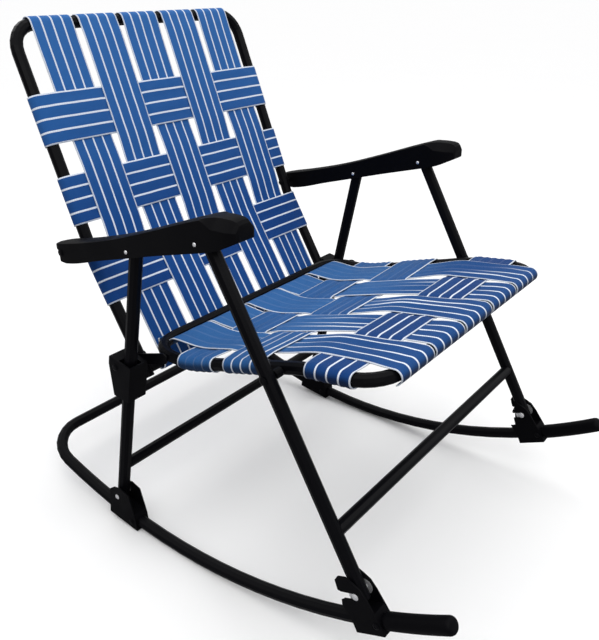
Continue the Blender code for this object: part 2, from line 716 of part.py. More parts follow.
def level(s, rows, over):
    """Height of a long strap at length s: above or below each cross strap in turn."""
    half = 0.5 * STRAP_W + 0.004
    for row, up in zip(rows, over):
        if abs(s - row) < half:
            return BASE + (LIFT if up else -LIFT)
    return None


def long_strap(name, line, x, s0, s1, rows, over, flip):
    """A strap along a side line, woven through the rows; flip selects the sitter's side."""
    stations = [s0]
    for row in rows:
        stations += [row - 0.5 * STRAP_W - 0.003, row, row + 0.5 * STRAP_W + 0.003]
    stations += [s1]
    stations += [s for s in line.length if s0 < s < s1]
    stations = sorted(set(round(s, 4) for s in stations))
    path = []
    for s in stations:
        (p, d) = line.at(s)
        h = level(s, rows, over)
        if h is None:
            h = WRAP if s in (s0, s1) else BASE
        normal = (d[1] * flip, -d[0] * flip)
        path.append(add2(p, normal, h))
    return path


def angle_of(v):
    return math.degrees(math.atan2(v[1], v[0]))


for k, x in enumerate(LONG_X):
    odd = k % 2 == 0
    # Back: over the top bar, down the front, round the lower bar.
    over = [not odd, odd, not odd]
    path = long_strap("b", BACK_LINE, x, 0.0, BACK_BAR_S, BACK_ROWS, over, 1.0)
    top_angle = angle_of((path[0][0] - BACK_TOP[0], path[0][1] - BACK_TOP[1]))
    low_angle = angle_of((path[-1][0] - BACK_BAR[0], path[-1][1] - BACK_BAR[1]))
    start = list(reversed(wrap(BACK_TOP, top_angle, -150.0, WRAP)))
    end = wrap(BACK_BAR, low_angle, 150.0, WRAP)
    frame = Matrix.Translation((x, 0, 0)) @ SIDE_VIEW
    ribbon("back_strap_long_%d" % (k + 1), start + path + end, STRAP_W, frame)
    # Seat: under the rear bar, over the weave, round the front bar.
    over = [odd, not odd, odd]
    path = long_strap("s", SEAT_LINE, x, 0.058, SEAT_LINE.total, SEAT_ROWS, over, 1.0)
    path = path[1:]
    rear_low = wrap(SEAT_REAR, -90.0, 100.0, WRAP, 5)
    start = list(reversed(rear_low)) + [add2(SEAT_REAR, (0.0, -WRAP)), add2(SEAT_REAR, (-0.014, -WRAP + 0.0008))]
    tip_angle = angle_of((path[-1][0] - SEAT_FRONT[0], path[-1][1] - SEAT_FRONT[1]))
    end = wrap(SEAT_FRONT, tip_angle, 150.0, WRAP)
    ribbon("seat_strap_long_%d" % (k + 1), start + path + end, STRAP_W, frame)


def cross_strap(name, line, s, over, flip):
    """A strap from side tube to side tube, woven through the long straps.

    It is a grid bent to the side line, so that it lies flat on the bent tubes.
    """
    half = 0.5 * STRAP_W + 0.002
    path = []
    for x, up in zip(LONG_X, over):
        h = BASE + (LIFT if up else -LIFT)
        path += [(x - half, h), (x, h), (x + half, h)]
    ends = [(-FRAME_X, WRAP)] + path + [(FRAME_X, WRAP)]
    left = wrap((FRAME_X, 0.0), 90.0, -190.0, WRAP, 6)
    right = list(reversed(wrap((-FRAME_X, 0.0), 90.0, 190.0, WRAP, 6)))
    path = right + ends + left
    across = 4 if line is SEAT_LINE else 2
    bm = bmesh.new()
    bmesh.ops.create_grid(bm, x_segments=len(path) - 1, y_segments=across, size=0.5)
    for vert in bm.verts:
        i = round((vert.co.x + 0.5) * (len(path) - 1))
        j = (vert.co.y + 0.5) * STRAP_W - 0.5 * STRAP_W
        centre, d = line.at(s + j)
        side = add2(centre, (d[1] * flip, -d[0] * flip), path[i][1])
        vert.co = (path[i][0], side[0], side[1])
    mesh = bpy.data.meshes.new(name)
    bm.to_mesh(mesh)
    bm.free()
    obj = bpy.data.objects.new(name, mesh)
    bpy.context.scene.collection.objects.link(obj)
    solid = obj.modifiers.new("thickness", "SOLIDIFY")
    solid.thickness = STRAP_T
    solid.offset = 0.0
    keep(obj, BLUE)


for r, s in enumerate(BACK_ROWS):
    odd_over = r % 2 == 0
    cross_strap("back_strap_cross_%d" % (r + 1), BACK_LINE, s,
                [odd_over if k % 2 == 0 else not odd_over for k in range(5)], 1.0)
for r, s in enumerate(SEAT_ROWS):
    odd_over = r % 2 == 1
    cross_strap("seat_strap_cross_%d" % (r + 1), SEAT_LINE, s,
                [odd_over if k % 2 == 0 else not odd_over for k in range(5)], 1.0)
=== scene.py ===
"""Camp rocking chair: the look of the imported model.

Metres, +Z up. The chair faces -Y, and the sitter's left is +X.
"""

import math

import bmesh
import bpy
from mathutils import Matrix, Vector


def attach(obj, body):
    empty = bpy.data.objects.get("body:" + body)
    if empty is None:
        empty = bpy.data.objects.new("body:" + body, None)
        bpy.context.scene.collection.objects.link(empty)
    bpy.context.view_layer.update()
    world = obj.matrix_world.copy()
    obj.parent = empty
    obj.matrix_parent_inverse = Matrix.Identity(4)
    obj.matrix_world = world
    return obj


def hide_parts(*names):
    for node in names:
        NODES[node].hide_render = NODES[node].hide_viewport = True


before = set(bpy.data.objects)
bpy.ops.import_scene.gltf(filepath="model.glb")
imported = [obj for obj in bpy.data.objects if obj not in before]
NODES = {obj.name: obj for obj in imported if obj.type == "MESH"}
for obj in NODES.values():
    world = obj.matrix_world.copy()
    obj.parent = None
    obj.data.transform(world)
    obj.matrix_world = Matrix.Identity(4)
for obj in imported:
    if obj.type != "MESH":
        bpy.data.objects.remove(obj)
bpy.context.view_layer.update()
scene = bpy.context.scene

# ---------------------------------------------------------------- dimensions, as in the CAD
# points are (Y, Z) in side view
FRAME_X = 0.2405
FRAME_R = 0.0095
ARM_X = 0.275
ARM_FRONT = (-0.0358, 0.5613)
ARM_REAR = (0.1028, 0.5195)
ARM_BACK = (0.2575, 0.4840)
FRONT_FOOT = (-0.2813, 0.1298)
SEAT_DROP = 0.190
BACK_TOP = (0.383, 0.793)
BACK_KINK = (0.2475, 0.460)
SEAT_REAR = (0.135, 0.343)
SEAT_DIP = (0.052, 0.343)
SEAT_RISE = (-0.162, 0.407)
SEAT_FRONT = (-0.277, 0.4215)
STRAP_W = 0.075
STRAP_T = 0.0012
STRAP_PITCH = 0.0865
BACK_ROWS = (0.142, 0.265, 0.395)
SEAT_ROWS = (0.106, 0.2017, 0.348)
LONG_X = [STRAP_PITCH * k for k in (-2, -1, 0, 1, 2)]
LEG_X = 0.274
LEG_R = 0.010
ROCKER_RADIUS = 0.880
ROCKER_Y = 0.0730
ROCKER_FRONT = 0.512

# ---------------------------------------------------------------- how the straps lie
WRAP = FRAME_R + 0.0007 + 0.5 * STRAP_T      # a strap's middle from the axis of the tube it turns round
BASE = WRAP + 0.0011                         # the middle of the weave from the tubes' axes
LIFT = 0.0011                                # how far a strap passes above or below that
SEAT_SAG = 0.007
BACK_SAG = 0.005
STRAP_STEP = 0.0035
STRAP_COLUMNS = 20
HINGE_TO_BAR = 0.024
HINGE_TO_END = 0.036


# ---------------------------------------------------------------- plane geometry
def add2(p, q, k=1.0):
    return (p[0] + k * q[0], p[1] + k * q[1])


def unit2(p, q):
    d = math.hypot(q[0] - p[0], q[1] - p[1])
    return ((q[0] - p[0]) / d, (q[1] - p[1]) / d)


def degrees_of(v):
    return math.degrees(math.atan2(v[1], v[0]))


def smooth(t):
    t = min(1.0, max(0.0, t))
    return t * t * (3.0 - 2.0 * t)


def ripple(u, length, phase):
    return math.sin(2 * math.pi * u / length + phase)


def bezier(p0, p1, p2, p3, w):
    v = 1 - w
    return tuple(v ** 3 * a + 3 * w * v ** 2 * b + 3 * w * w * v * c + w ** 3 * d
                 for a, b, c, d in zip(p0, p1, p2, p3))


def fillet(points, radii, steps):
    """Polyline with each inner corner replaced by an arc."""
    out = [points[0]]
    for p0, p, p1, radius in zip(points, points[1:], points[2:], radii):
        a, b = unit2(p, p0), unit2(p, p1)
        half = 0.5 * math.acos(max(-1.0, min(1.0, a[0] * b[0] + a[1] * b[1])))
        reach = radius / math.tan(half)
        middle = add2(a, b)
        centre = add2(p, middle, radius / math.sin(half) / math.hypot(*middle))
        start, end = add2(p, a, reach), add2(p, b, reach)
        t0 = math.atan2(start[1] - centre[1], start[0] - centre[0])
        t1 = math.atan2(end[1] - centre[1], end[0] - centre[0])
        turn = (t1 - t0 + math.pi) % (2 * math.pi) - math.pi
        for j in range(steps + 1):
            t = t0 + turn * j / steps
            out.append(add2(centre, (math.cos(t), math.sin(t)), radius))
    out.append(points[-1])
    return out


class Profile:
    """A side-view line measured by length; the normal points to the sitter's side."""

    def __init__(self, points):
        self.points = points
        self.length = [0.0]
        for a, b in zip(points, points[1:]):
            self.length.append(self.length[-1] + math.hypot(b[0] - a[0], b[1] - a[1]))
        self.total = self.length[-1]

    def raw(self, s):
        i = 0
        while i < len(self.points) - 2 and self.length[i + 1] < s:
            i += 1
        return add2(self.points[i], unit2(self.points[i], self.points[i + 1]), s - self.length[i])

    def at(self, s):
        """Point and normal at length s."""
        near = 0.004
        d = unit2(self.raw(max(0.0, s - near)), self.raw(min(self.total, s + near)))
        return self.raw(s), (d[1], -d[0])


FRONT_DIR = unit2(ARM_FRONT, FRONT_FOOT)
SEAT_PIVOT = add2(ARM_FRONT, FRONT_DIR, SEAT_DROP)
HINGE = add2(SEAT_PIVOT, add2(ARM_BACK, ARM_FRONT, -1.0))
BACK_DIR = unit2(BACK_KINK, HINGE)
BACK_BAR = add2(HINGE, BACK_DIR, HINGE_TO_BAR)
BACK_END = add2(HINGE, BACK_DIR, HINGE_TO_END)
BACK_LINE = Profile(fillet([BACK_TOP, BACK_KINK, BACK_END], [0.20], 16))
SEAT_LINE = Profile(fillet([SEAT_REAR, SEAT_DIP, SEAT_RISE, SEAT_FRONT], [0.16, 0.22], 14))
BACK_BAR_S = BACK_LINE.total - (HINGE_TO_END - HINGE_TO_BAR)


# ---------------------------------------------------------------- materials
class Nodes:
    """Short hand for building a material's node tree."""

    def __init__(self, name):
        self.mat = bpy.data.materials.new(name)
        self.mat.use_nodes = True
        self.tree = self.mat.node_tree
        self.shader = self.tree.nodes["Principled BSDF"]

    def link(self, a, b):
        self.tree.links.new(a, b)

    def put(self, socket, value):
        if isinstance(value, bpy.types.NodeSocket):
            self.link(value, socket)
        else:
            socket.default_value = value

    def colour(self, value):
        self.put(self.shader.inputs["Base Color"], value)

    def roughness(self, value):
        self.put(self.shader.inputs["Roughness"], value)

    def math(self, op, a, b=0.0, clamp=False):
        n = self.tree.nodes.new("ShaderNodeMath")
        n.operation = op
        n.use_clamp = clamp
        self.put(n.inputs[0], a)
        self.put(n.inputs[1], b)
        return n.outputs[0]

    def coords(self, kind="Object"):
        return self.tree.nodes.new("ShaderNodeTexCoord").outputs[kind]

    def split(self, vector):
        n = self.tree.nodes.new("ShaderNodeSeparateXYZ")
        self.link(vector, n.inputs[0])
        return n.outputs

    def along_y(self, value):
        n = self.tree.nodes.new("ShaderNodeCombineXYZ")
        self.link(value, n.inputs[1])
        return n.outputs[0]

    def noise(self, vector, scale, detail=3.0, rough=0.5):
        n = self.tree.nodes.new("ShaderNodeTexNoise")
        self.link(vector, n.inputs["Vector"])
        n.inputs["Scale"].default_value = scale
        n.inputs["Detail"].default_value = detail
        n.inputs["Roughness"].default_value = rough
        return n.outputs["Fac"]

    def ramp(self, fac, lo, hi, a=0.0, b=1.0):
        """A smooth step from a at lo to b at hi."""
        n = self.tree.nodes.new("ShaderNodeMapRange")
        n.interpolation_type = "SMOOTHSTEP"
        self.link(fac, n.inputs["Value"])
        for key, v in (("From Min", lo), ("From Max", hi), ("To Min", a), ("To Max", b)):
            n.inputs[key].default_value = v
        return n.outputs["Result"]

    def mix(self, fac, a, b):
        n = self.tree.nodes.new("ShaderNodeMix")
        n.data_type = "RGBA"
        self.put(n.inputs["Factor"], fac)
        self.put(n.inputs[6], a)
        self.put(n.inputs[7], b)
        return n.outputs[2]

    def bump(self, height, strength, distance):
        n = self.tree.nodes.new("ShaderNodeBump")
        n.inputs["Strength"].default_value = strength
        n.inputs["Distance"].default_value = distance
        self.link(height, n.inputs["Height"])
        self.link(n.outputs["Normal"], self.shader.inputs["Normal"])


def rgb(r, g, b):
    """Linear colour from display values 0 to 255."""
    def lin(v):
        v /= 255.0
        return v / 12.92 if v <= 0.04045 else ((v + 0.055) / 1.055) ** 2.4
    return (lin(r), lin(g), lin(b), 1.0)


def powder_coat():
    """Black powder coat: fine orange peel, faint cloudy gloss, a little dust."""
    m = Nodes("powder_coat")
    p = m.coords()
    peel = m.noise(p, 520.0, 2.0, 0.45)
    cloud = m.noise(p, 9.0, 3.0)
    dust = m.ramp(m.noise(p, 1900.0, 1.0), 0.70, 0.78)
    black = m.mix(cloud, rgb(5, 5, 8), rgb(9, 9, 13))
    m.colour(m.mix(m.math("MULTIPLY", dust, 0.30), black, rgb(34, 34, 38)))
    m.roughness(m.math("ADD", m.ramp(cloud, 0.3, 0.7, 0.30, 0.42), m.math("MULTIPLY", dust, 0.2)))
    m.shader.inputs["Specular IOR Level"].default_value = 0.08
    m.bump(peel, 0.30, 0.00025)
    return m.mat


def plastic():
    """Black moulded plastic: fine spark-eroded grain, a little polished in patches."""
    m = Nodes("moulded_plastic")
    p = m.coords()
    grain = m.noise(p, 1500.0, 2.0, 0.6)
    cloud = m.noise(p, 14.0, 4.0)
    m.colour(m.mix(cloud, rgb(5, 5, 8), rgb(9, 9, 12)))
    m.roughness(m.ramp(cloud, 0.30, 0.70, 0.42, 0.58))
    m.shader.inputs["Specular IOR Level"].default_value = 0.06
    m.bump(grain, 0.40, 0.00020)
    return m.mat


def zinc():
    """Bright zinc-plated steel with fine turned marks."""
    m = Nodes("zinc_plated_steel")
    p = m.coords()
    marks = m.noise(p, 2600.0, 3.0, 0.7)
    cloud = m.noise(p, 320.0, 3.0)
    m.colour(m.mix(cloud, rgb(236, 237, 240), rgb(252, 252, 254)))
    m.roughness(m.ramp(marks, 0.3, 0.7, 0.22, 0.40))
    m.shader.inputs["Metallic"].default_value = 0.75
    m.bump(marks, 0.25, 0.00008)
    return m.mat


WHITE_YARN = rgb(240, 246, 255)
WHITE_YARN_SHADE = rgb(128, 164, 226)
BLUE_SHADE = rgb(12, 34, 86)
# painted shade for the seat straps' faces that turn down round the rails
TURN_SHADE = rgb(6, 12, 30)
LINE_HALF = (0.00120, 0.00170)       # an inner white line ends between these, from its middle
SELVEDGE = (0.0024, 0.0019)          # the white edge begins between these, from the strap's edge
RIB = 0.00115
WEFT = 0.00090
TWILL = 0.0030


def white_lines(m, u, v):
    """Three inner white lines a quarter of the width apart, and the two white edges."""
    # the yarns wander by a few tenths of a millimetre
    wander = m.math("SUBTRACT", m.noise(m.along_y(v), 24.0, 1.0), 0.5)
    x = m.math("ADD", u, m.math("MULTIPLY", wander, 0.0009))
    quarter = STRAP_W / 4.0
    off_middle = m.math("ABSOLUTE", x)
    inner = m.ramp(m.math("PINGPONG", off_middle, quarter * 0.5), *LINE_HALF, 1.0, 0.0)
    inside = m.ramp(off_middle, quarter * 1.5, quarter * 1.5 + 0.0004, 1.0, 0.0)
    edge = m.ramp(off_middle, 0.5 * STRAP_W - SELVEDGE[0], 0.5 * STRAP_W - SELVEDGE[1])
    return m.math("MULTIPLY", inner, inside), edge


def yarn_height(m, u, v):
    """Lengthwise ribs crossed by the weft, each row shifted by half a rib."""
    row = m.math("FLOOR", m.math("DIVIDE", v, WEFT))
    shift = m.math("MULTIPLY", m.math("PINGPONG", row, 1.0), RIB * 0.5)
    ribs = m.math("SINE", m.math("MULTIPLY", m.math("ADD", u, shift), 2 * math.pi / RIB))
    wefts = m.math("SINE", m.math("MULTIPLY", v, 2 * math.pi / WEFT))
    return m.math("ADD", m.math("MULTIPLY", ribs, 0.5), m.math("MULTIPLY", wefts, 0.35))


def glare_fade(m, p, lo, hi):
    """1 where the inner lines show fully, small where painted glare washes them out: the seat's rear and
    far side.
    """
    axes = m.split(p)
    along = m.math("ADD", axes[1], m.math("MULTIPLY", axes[0], 0.36))
    far = m.math("MAXIMUM", m.math("SUBTRACT", axes[0], 0.130), 0.0)
    along = m.math("ADD", along, m.math("MULTIPLY", far, 1.5))
    return m.ramp(along, lo, hi, 1.0, 0.05)


def webbing(name, pale, deep, axis, pale_range, plain_range=None):
    """Striped 3 inch webbing. UV x runs across and y along the strap, both in metres.

    Four blue bands lie between three inner white lines and two white edges. The blue goes from deep
    to pale over pale_range of the object's Y (axis 1) or Z (axis 2): a painted glare and top light,
    paler towards the seat's rear and the back's top. On the seat, plain_range is the stretch of Y
    over which painted glare fades the inner lines.
    """
    m = Nodes(name)
    uv = m.split(m.coords("UV"))
    p = m.coords()
    inner, edge = white_lines(m, uv[0], uv[1])
    knot = yarn_height(m, uv[0], uv[1])
    slant = m.math("ADD", m.math("MULTIPLY", uv[0], 0.9), uv[1])
    twill = m.math("SINE", m.math("MULTIPLY", slant, 2 * math.pi / TWILL))
    # painted glare: the seat's inner white lines fade towards its rear and far side
    if plain_range is not None:
        inner = m.math("MULTIPLY", inner, glare_fade(m, p, *plain_range))
    cloud = m.math("MULTIPLY", m.math("SUBTRACT", m.noise(p, 7.0, 3.0), 0.5), 0.5)
    # painted glare and top light: the blue pales over pale_range, mottled by the noise
    glare_and_mottle = m.math("ADD", m.ramp(m.split(p)[axis], *pale_range), cloud, clamp=True)
    body = m.mix(glare_and_mottle, deep, pale)
    raised = m.math("MULTIPLY", m.math("ADD", knot, 0.5), 0.20, clamp=True)
    body = m.mix(raised, body, BLUE_SHADE)
    yarn = m.mix(m.ramp(twill, 0.0, 0.9, 0.0, 0.30), WHITE_YARN, WHITE_YARN_SHADE)
    lines = m.math("MAXIMUM", inner, m.math("MULTIPLY", edge, 0.95))
    colour = m.mix(lines, body, yarn)
    if plain_range is not None:
        # painted shade darkens the seat's straps where they turn down round the rails, more the further
        # their faces point down
        up = m.split(m.tree.nodes.new("ShaderNodeNewGeometry").outputs["Normal"])[2]
        turned = m.ramp(up, -0.10, 0.75, 0.75, 0.0)
        painted_shade = m.math("MULTIPLY", turned, m.ramp(lines, 0.0, 1.0, 1.0, 0.45))
        colour = m.mix(painted_shade, colour, TURN_SHADE)
    m.colour(colour)
    m.roughness(m.ramp(m.noise(p, 60.0, 3.0), 0.3, 0.7, 0.50, 0.64))
    m.shader.inputs["Specular IOR Level"].default_value = 0.10
    m.shader.inputs["Sheen Weight"].default_value = 0.04
    m.shader.inputs["Sheen Roughness"].default_value = 0.40
    m.bump(m.math("ADD", knot, m.math("MULTIPLY", lines, 0.9)), 0.55, 0.00030)
    return m.mat


COAT = powder_coat()
PLASTIC = plastic()
ZINC = zinc()
# painted glare and top light: the straps' blue pales towards the seat's rear and the back's top, and the
# seat's inner lines fade over the second stretch below
SEAT_PALE_Y = (-0.22, -0.02)
SEAT_GLARE_Y = (-0.150, -0.050)
BACK_LONG = webbing("webbing_back_long", rgb(54, 114, 186), rgb(22, 77, 148), 2, (0.42, 0.80))
BACK_CROSS = webbing("webbing_back_cross", rgb(44, 102, 172), rgb(18, 69, 138), 2, (0.42, 0.74))
SEAT_LONG = webbing("webbing_seat_long", rgb(54, 110, 172), rgb(26, 76, 138), 1,
                    SEAT_PALE_Y, SEAT_GLARE_Y)
SEAT_CROSS = webbing("webbing_seat_cross", rgb(48, 102, 164), rgb(20, 66, 128), 1,
                     SEAT_PALE_Y, SEAT_GLARE_Y)
LOOKS = (  # words in a node's name, and its material; the first that fits is taken
    (("bolt", "lug", "hinge_pin"), COAT),
    (("rivet", "hook_pin"), ZINC),
    (("armrest", "bracket", "sleeve", "slider", "spacer"), PLASTIC),
    (("strap",), BACK_LONG),
    (("",), COAT),
)


def look_of(name):
    for words, mat in LOOKS:
        if any(word in name for word in words):
            return mat


for name, obj in NODES.items():
    for material_slot in obj.material_slots:
        material_slot.material = look_of(name)


# ---------------------------------------------------------------- mesh helpers
def new_object(name, bm, mat, body, node, smooth_angle=None):
    """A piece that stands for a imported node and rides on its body."""
    mesh = bpy.data.meshes.new(name)
    bm.to_mesh(mesh)
    bm.free()
    obj = bpy.data.objects.new(name, mesh)
    scene.collection.objects.link(obj)
    mesh.materials.append(mat)
    mesh.shade_smooth()
    if smooth_angle is not None:
        mesh.set_sharp_from_angle(angle=math.radians(smooth_angle))
    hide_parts(node)
    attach(obj, body)
    return obj


def break_edges(obj, width, angle):
    soft = obj.modifiers.new("edges", "BEVEL")
    soft.width = width
    soft.segments = 2
    soft.limit_method = "ANGLE"
    soft.angle_limit = math.radians(angle)
    soft.harden_normals = True


def loft(rings):
    """A closed solid through rings with the same number of points."""
    bm = bmesh.new()
    rows = [[bm.verts.new(p) for p in ring] for ring in rings]
    n = len(rows[0])
    for a, b in zip(rows, rows[1:]):
        for i in range(n):
            j = (i + 1) % n
            bm.faces.new((a[i], a[j], b[j], b[i]))
    bm.faces.new(rows[0])
    bm.faces.new(rows[-1])
    bmesh.ops.recalc_face_normals(bm, faces=bm.faces)
    return bm


# ---------------------------------------------------------------- webbing
def sheet_object(name, rows, uvs, mat, body, node):
    """A strap from rows of points, with UVs in metres, thickened on both sides."""
    bm = bmesh.new()
    layer = bm.loops.layers.uv.new("metres")
    grid = [[bm.verts.new(p) for p in row] for row in rows]
    for i in range(len(grid) - 1):
        for j in range(len(grid[i]) - 1):
            corners = ((i, j), (i, j + 1), (i + 1, j + 1), (i + 1, j))
            f = bm.faces.new([grid[a][b] for a, b in corners])
            for loop, (a, b) in zip(f.loops, corners):
                loop[layer].uv = uvs[a][b]
    obj = new_object(name, bm, mat, body, node)
    solid = obj.modifiers.new("thickness", "SOLIDIFY")
    solid.thickness = STRAP_T
    solid.offset = 0.0


def weave(t, centres, ups):
    """Height of a strap at t, above or below each crossing strap, easing in the gaps between."""
    heights = [LIFT if up else -LIFT for up in ups]
    if t <= centres[0]:
        return heights[0]
    for c0, c1, h0, h1 in zip(centres, centres[1:], heights, heights[1:]):
        if t <= c1:
            return h0 + (h1 - h0) * smooth((t - (c0 + 0.5 * STRAP_W)) / max(0.004, c1 - c0 - STRAP_W))
    return heights[-1]


def sag(part, x, s):
    """The webbing hangs between the rails, most in the middle."""
    across = max(0.0, 1.0 - (x / 0.240) ** 2)
    depth, length, power = SEAT_SAG, SEAT_LINE.total, 0.8
    if part == "back":
        depth, length, power = BACK_SAG, BACK_BAR_S, 0.9
    along = math.sin(math.pi * min(1.0, max(0.0, s / length))) ** power
    return -depth * across * along


# A station of a long strap is a point, its normal, the strap's height above the point, the length s
# along the side line, and how free the strap is: 0 where it lies on a tube, 1 well clear of one.

def tube_turn(centre, start, turn, steps, s):
    """Stations round a tube from a start angle, in degrees."""
    out = []
    for i in range(1, steps + 1):
        t = math.radians(start + turn * i / steps)
        out.append((centre, (math.cos(t), math.sin(t)), WRAP, s, 0.0))
    return out


def clear_stations(line, rows, ups, s0, s1):
    """The stretch of a long strap between its end tubes."""
    out = []
    count = int((s1 - s0) / STRAP_STEP)
    for i in range(count + 1):
        s = s0 + (s1 - s0) * i / count
        p, n = line.at(s)
        free = smooth(min(s - s0, s1 - s) / 0.035)
        out.append((p, n, WRAP + (BASE + weave(s, rows, ups) - WRAP) * free, s, free))
    return out


def back_stations(ups):
    middle = clear_stations(BACK_LINE, BACK_ROWS, ups, 0.0, BACK_BAR_S)
    over_top = tube_turn(BACK_TOP, degrees_of(middle[0][1]), -170.0, 16, 0.0)
    under_bar = tube_turn(BACK_BAR, degrees_of(middle[-1][1]), 170.0, 16, BACK_BAR_S)
    return over_top[::-1] + middle + under_bar


def seat_stations(ups):
    """The seat's straps come up from under the rear bar, which stays bare on top."""
    middle = clear_stations(SEAT_LINE, SEAT_ROWS, ups, 0.006, SEAT_LINE.total)
    middle = [station for station in middle if station[3] > 0.027]
    first, second = middle[0], middle[1]
    low = add2(SEAT_REAR, (-WRAP, 0.0))
    high = add2(*first[:3])
    ahead = unit2(high, add2(*second[:3]))
    rise = []
    for i in range(1, 9):
        w = i / 9.0
        p = bezier(low, add2(low, (0.0, 0.006)), add2(high, ahead, -0.007), high, w)
        rise.append((p, (0.0, 1.0), 0.0, 0.012 + 0.015 * w, first[4] * w))
    under_bar = tube_turn(SEAT_REAR, -180.0, 190.0, 18, 0.0)[::-1]
    under_bar.append((SEAT_REAR, (-1.0, 0.0), WRAP, 0.0, 0.0))
    over_front = tube_turn(SEAT_FRONT, degrees_of(middle[-1][1]), 170.0, 16, SEAT_LINE.total)
    return under_bar + rise + middle + over_front


def long_lift(part, k, x, u, s, free):
    """How far a long strap's surface stands off its middle: sag, folds and slightly curled edges."""
    lift = sag(part, x, s) * free
    if part == "back":
        lift += 0.0004 * free * ripple(u, 0.038, 1.7 * k + 11.0 * s)
    else:
        # lengthwise folds where the seat is slack, strongest behind the front bar
        slack = math.exp(-((s - 0.315) / 0.075) ** 2) * free
        lift += 0.0011 * slack * ripple(u, 0.024, 2.1 * k + 9.0 * s)
        lift += 0.0006 * free * ripple(u, 0.041, 1.3 * k + 14.0 * s)
    return lift - 0.0005 * (abs(u) / (0.5 * STRAP_W)) ** 6 * free


def long_spread(part, s):
    """The seat's straps are pulled flat and wide over its end bars."""
    if part == "back":
        return 1.0
    at_rear = 1.0 - smooth((s - 0.02) / 0.10)
    at_front = smooth((s - SEAT_LINE.total + 0.055) / 0.04)
    return 1.0 + 0.10 * at_rear + 0.09 * at_front


def across_strap():
    """Places across a strap's width, from its middle."""
    return [STRAP_W * (j / STRAP_COLUMNS - 0.5) for j in range(STRAP_COLUMNS + 1)]


def long_strap(part, k, mat):
    """A strap along the side line, woven through the rows and turned round the tubes at its ends."""
    odd = k % 2 == 0
    if part == "back":
        stations = back_stations([not odd, odd, not odd])
    else:
        stations = seat_stations([odd, not odd, odd])
    pts, uvs, length = [], [], 0.0
    previous = None
    for p, n, h, s, free in stations:
        centre = add2(p, n, h)
        if previous is not None:
            length += math.hypot(centre[0] - previous[0], centre[1] - previous[1])
        previous = centre
        spread = long_spread(part, s)
        row = []
        for u in across_strap():
            x = LONG_X[k] + u * spread
            row.append((x, *add2(centre, n, long_lift(part, k, x, u, s, free))))
        pts.append(row)
        uvs.append([(u, length) for u in across_strap()])
    name = "%s_webbing_long_%d" % (part, k + 1)
    sheet_object(name, pts, uvs, mat, part, "%s_strap_long_%d" % (part, k + 1))


def cross_path(ups):
    """A cross strap's course from side tube to side tube: X, height and how free it is."""
    path = []
    count = 150
    for i in range(count + 1):
        x = -FRAME_X + 2 * FRAME_X * i / count
        free = smooth((FRAME_X - abs(x)) / 0.030)
        path.append((x, WRAP + (BASE + weave(x, LONG_X, ups) - WRAP) * free, free))
    wraps = 14
    left, right = [], []
    for i in range(1, wraps + 1):
        t = math.radians(90.0 + 200.0 * i / wraps)
        left.append((-FRAME_X + WRAP * math.cos(t), WRAP * math.sin(t), 0.0))
        right.append((FRAME_X - WRAP * math.cos(t), WRAP * math.sin(t), 0.0))
    return left[::-1] + path + right


def cross_lift(part, r, x, u, s, free):
    """How far a cross strap's surface stands off its middle: sag, folds and gathers over the rails."""
    lift = sag(part, x, s) * free
    lift += (0.0004 if part == "back" else 0.0007) * free * ripple(u, 0.032, 2.3 * r + 9.0 * x)
    if part == "seat":
        lift += 0.0006 * smooth((abs(x) - 0.215) / 0.03) * ripple(u, 0.0135, r)
    return lift


def cross_strap(part, r, mat):
    """A strap from side tube to side tube, woven through the long straps."""
    line, rows = (BACK_LINE, BACK_ROWS) if part == "back" else (SEAT_LINE, SEAT_ROWS)
    odd_over = (r % 2 == 0) == (part == "back")
    pts, uvs, length = [], [], 0.0
    previous = None
    for x, h, free in cross_path([odd_over == (k % 2 == 0) for k in range(5)]):
        if previous is not None:
            length += math.hypot(x - previous[0], h - previous[1])
        previous = (x, h)
        # the seat's cross straps narrow a little at the rails
        gather = 1.0 - 0.06 * smooth((abs(x) - 0.225) / 0.03) if part == "seat" else 1.0
        row = []
        for u in across_strap():
            s = rows[r] + u * gather
            p, n = line.at(s)
            row.append((x, *add2(p, n, h + cross_lift(part, r, x, u, s, free))))
        pts.append(row)
        uvs.append([(u, length) for u in across_strap()])
    name = "%s_webbing_cross_%d" % (part, r + 1)
    sheet_object(name, pts, uvs, mat, part, "%s_strap_cross_%d" % (part, r + 1))


for k in range(5):
    long_strap("back", k, BACK_LONG)
    long_strap("seat", k, SEAT_LONG)
for r in range(3):
    cross_strap("back", r, BACK_CROSS)
    cross_strap("seat", r, SEAT_CROSS)


# ---------------------------------------------------------------- armrests
ARM_STATIONS = [  # Y, half width, top, bottom
    (-0.1010, 0.0130, 0.5905, 0.5765),
    (-0.0995, 0.0165, 0.5950, 0.5745),
    (-0.0955, 0.0200, 0.5985, 0.5720),
    (-0.0870, 0.0224, 0.6003, 0.5675),
    (-0.0730, 0.0232, 0.6003, 0.5610),
    (-0.0600, 0.0233, 0.5990, 0.5565),
    (-0.0480, 0.0230, 0.5965, 0.5530),
    (-0.0100, 0.0215, 0.5835, 0.5425),
    (0.0350, 0.0195, 0.5668, 0.5300),
    (0.0800, 0.0185, 0.5505, 0.5170),
    (0.1250, 0.0175, 0.5350, 0.5040),
    (0.1700, 0.0170, 0.5215, 0.4910),
    (0.2150, 0.0168, 0.5095, 0.4770),
    (0.2480, 0.0166, 0.5018, 0.4695),
    (0.2620, 0.0158, 0.4985, 0.4705),
    (0.2628, 0.0157, 0.4983, 0.4855),
    (0.2690, 0.0140, 0.4967, 0.4866),
    (0.2740, 0.0112, 0.4953, 0.4874),
    (0.2775, 0.0070, 0.4940, 0.4882),
]
ARM_STEP = 0.004
ARM_WALL = 0.0025
ARM_HOLLOW = (-0.087, 0.258)         # the stretch of Y where the armrest is an open channel
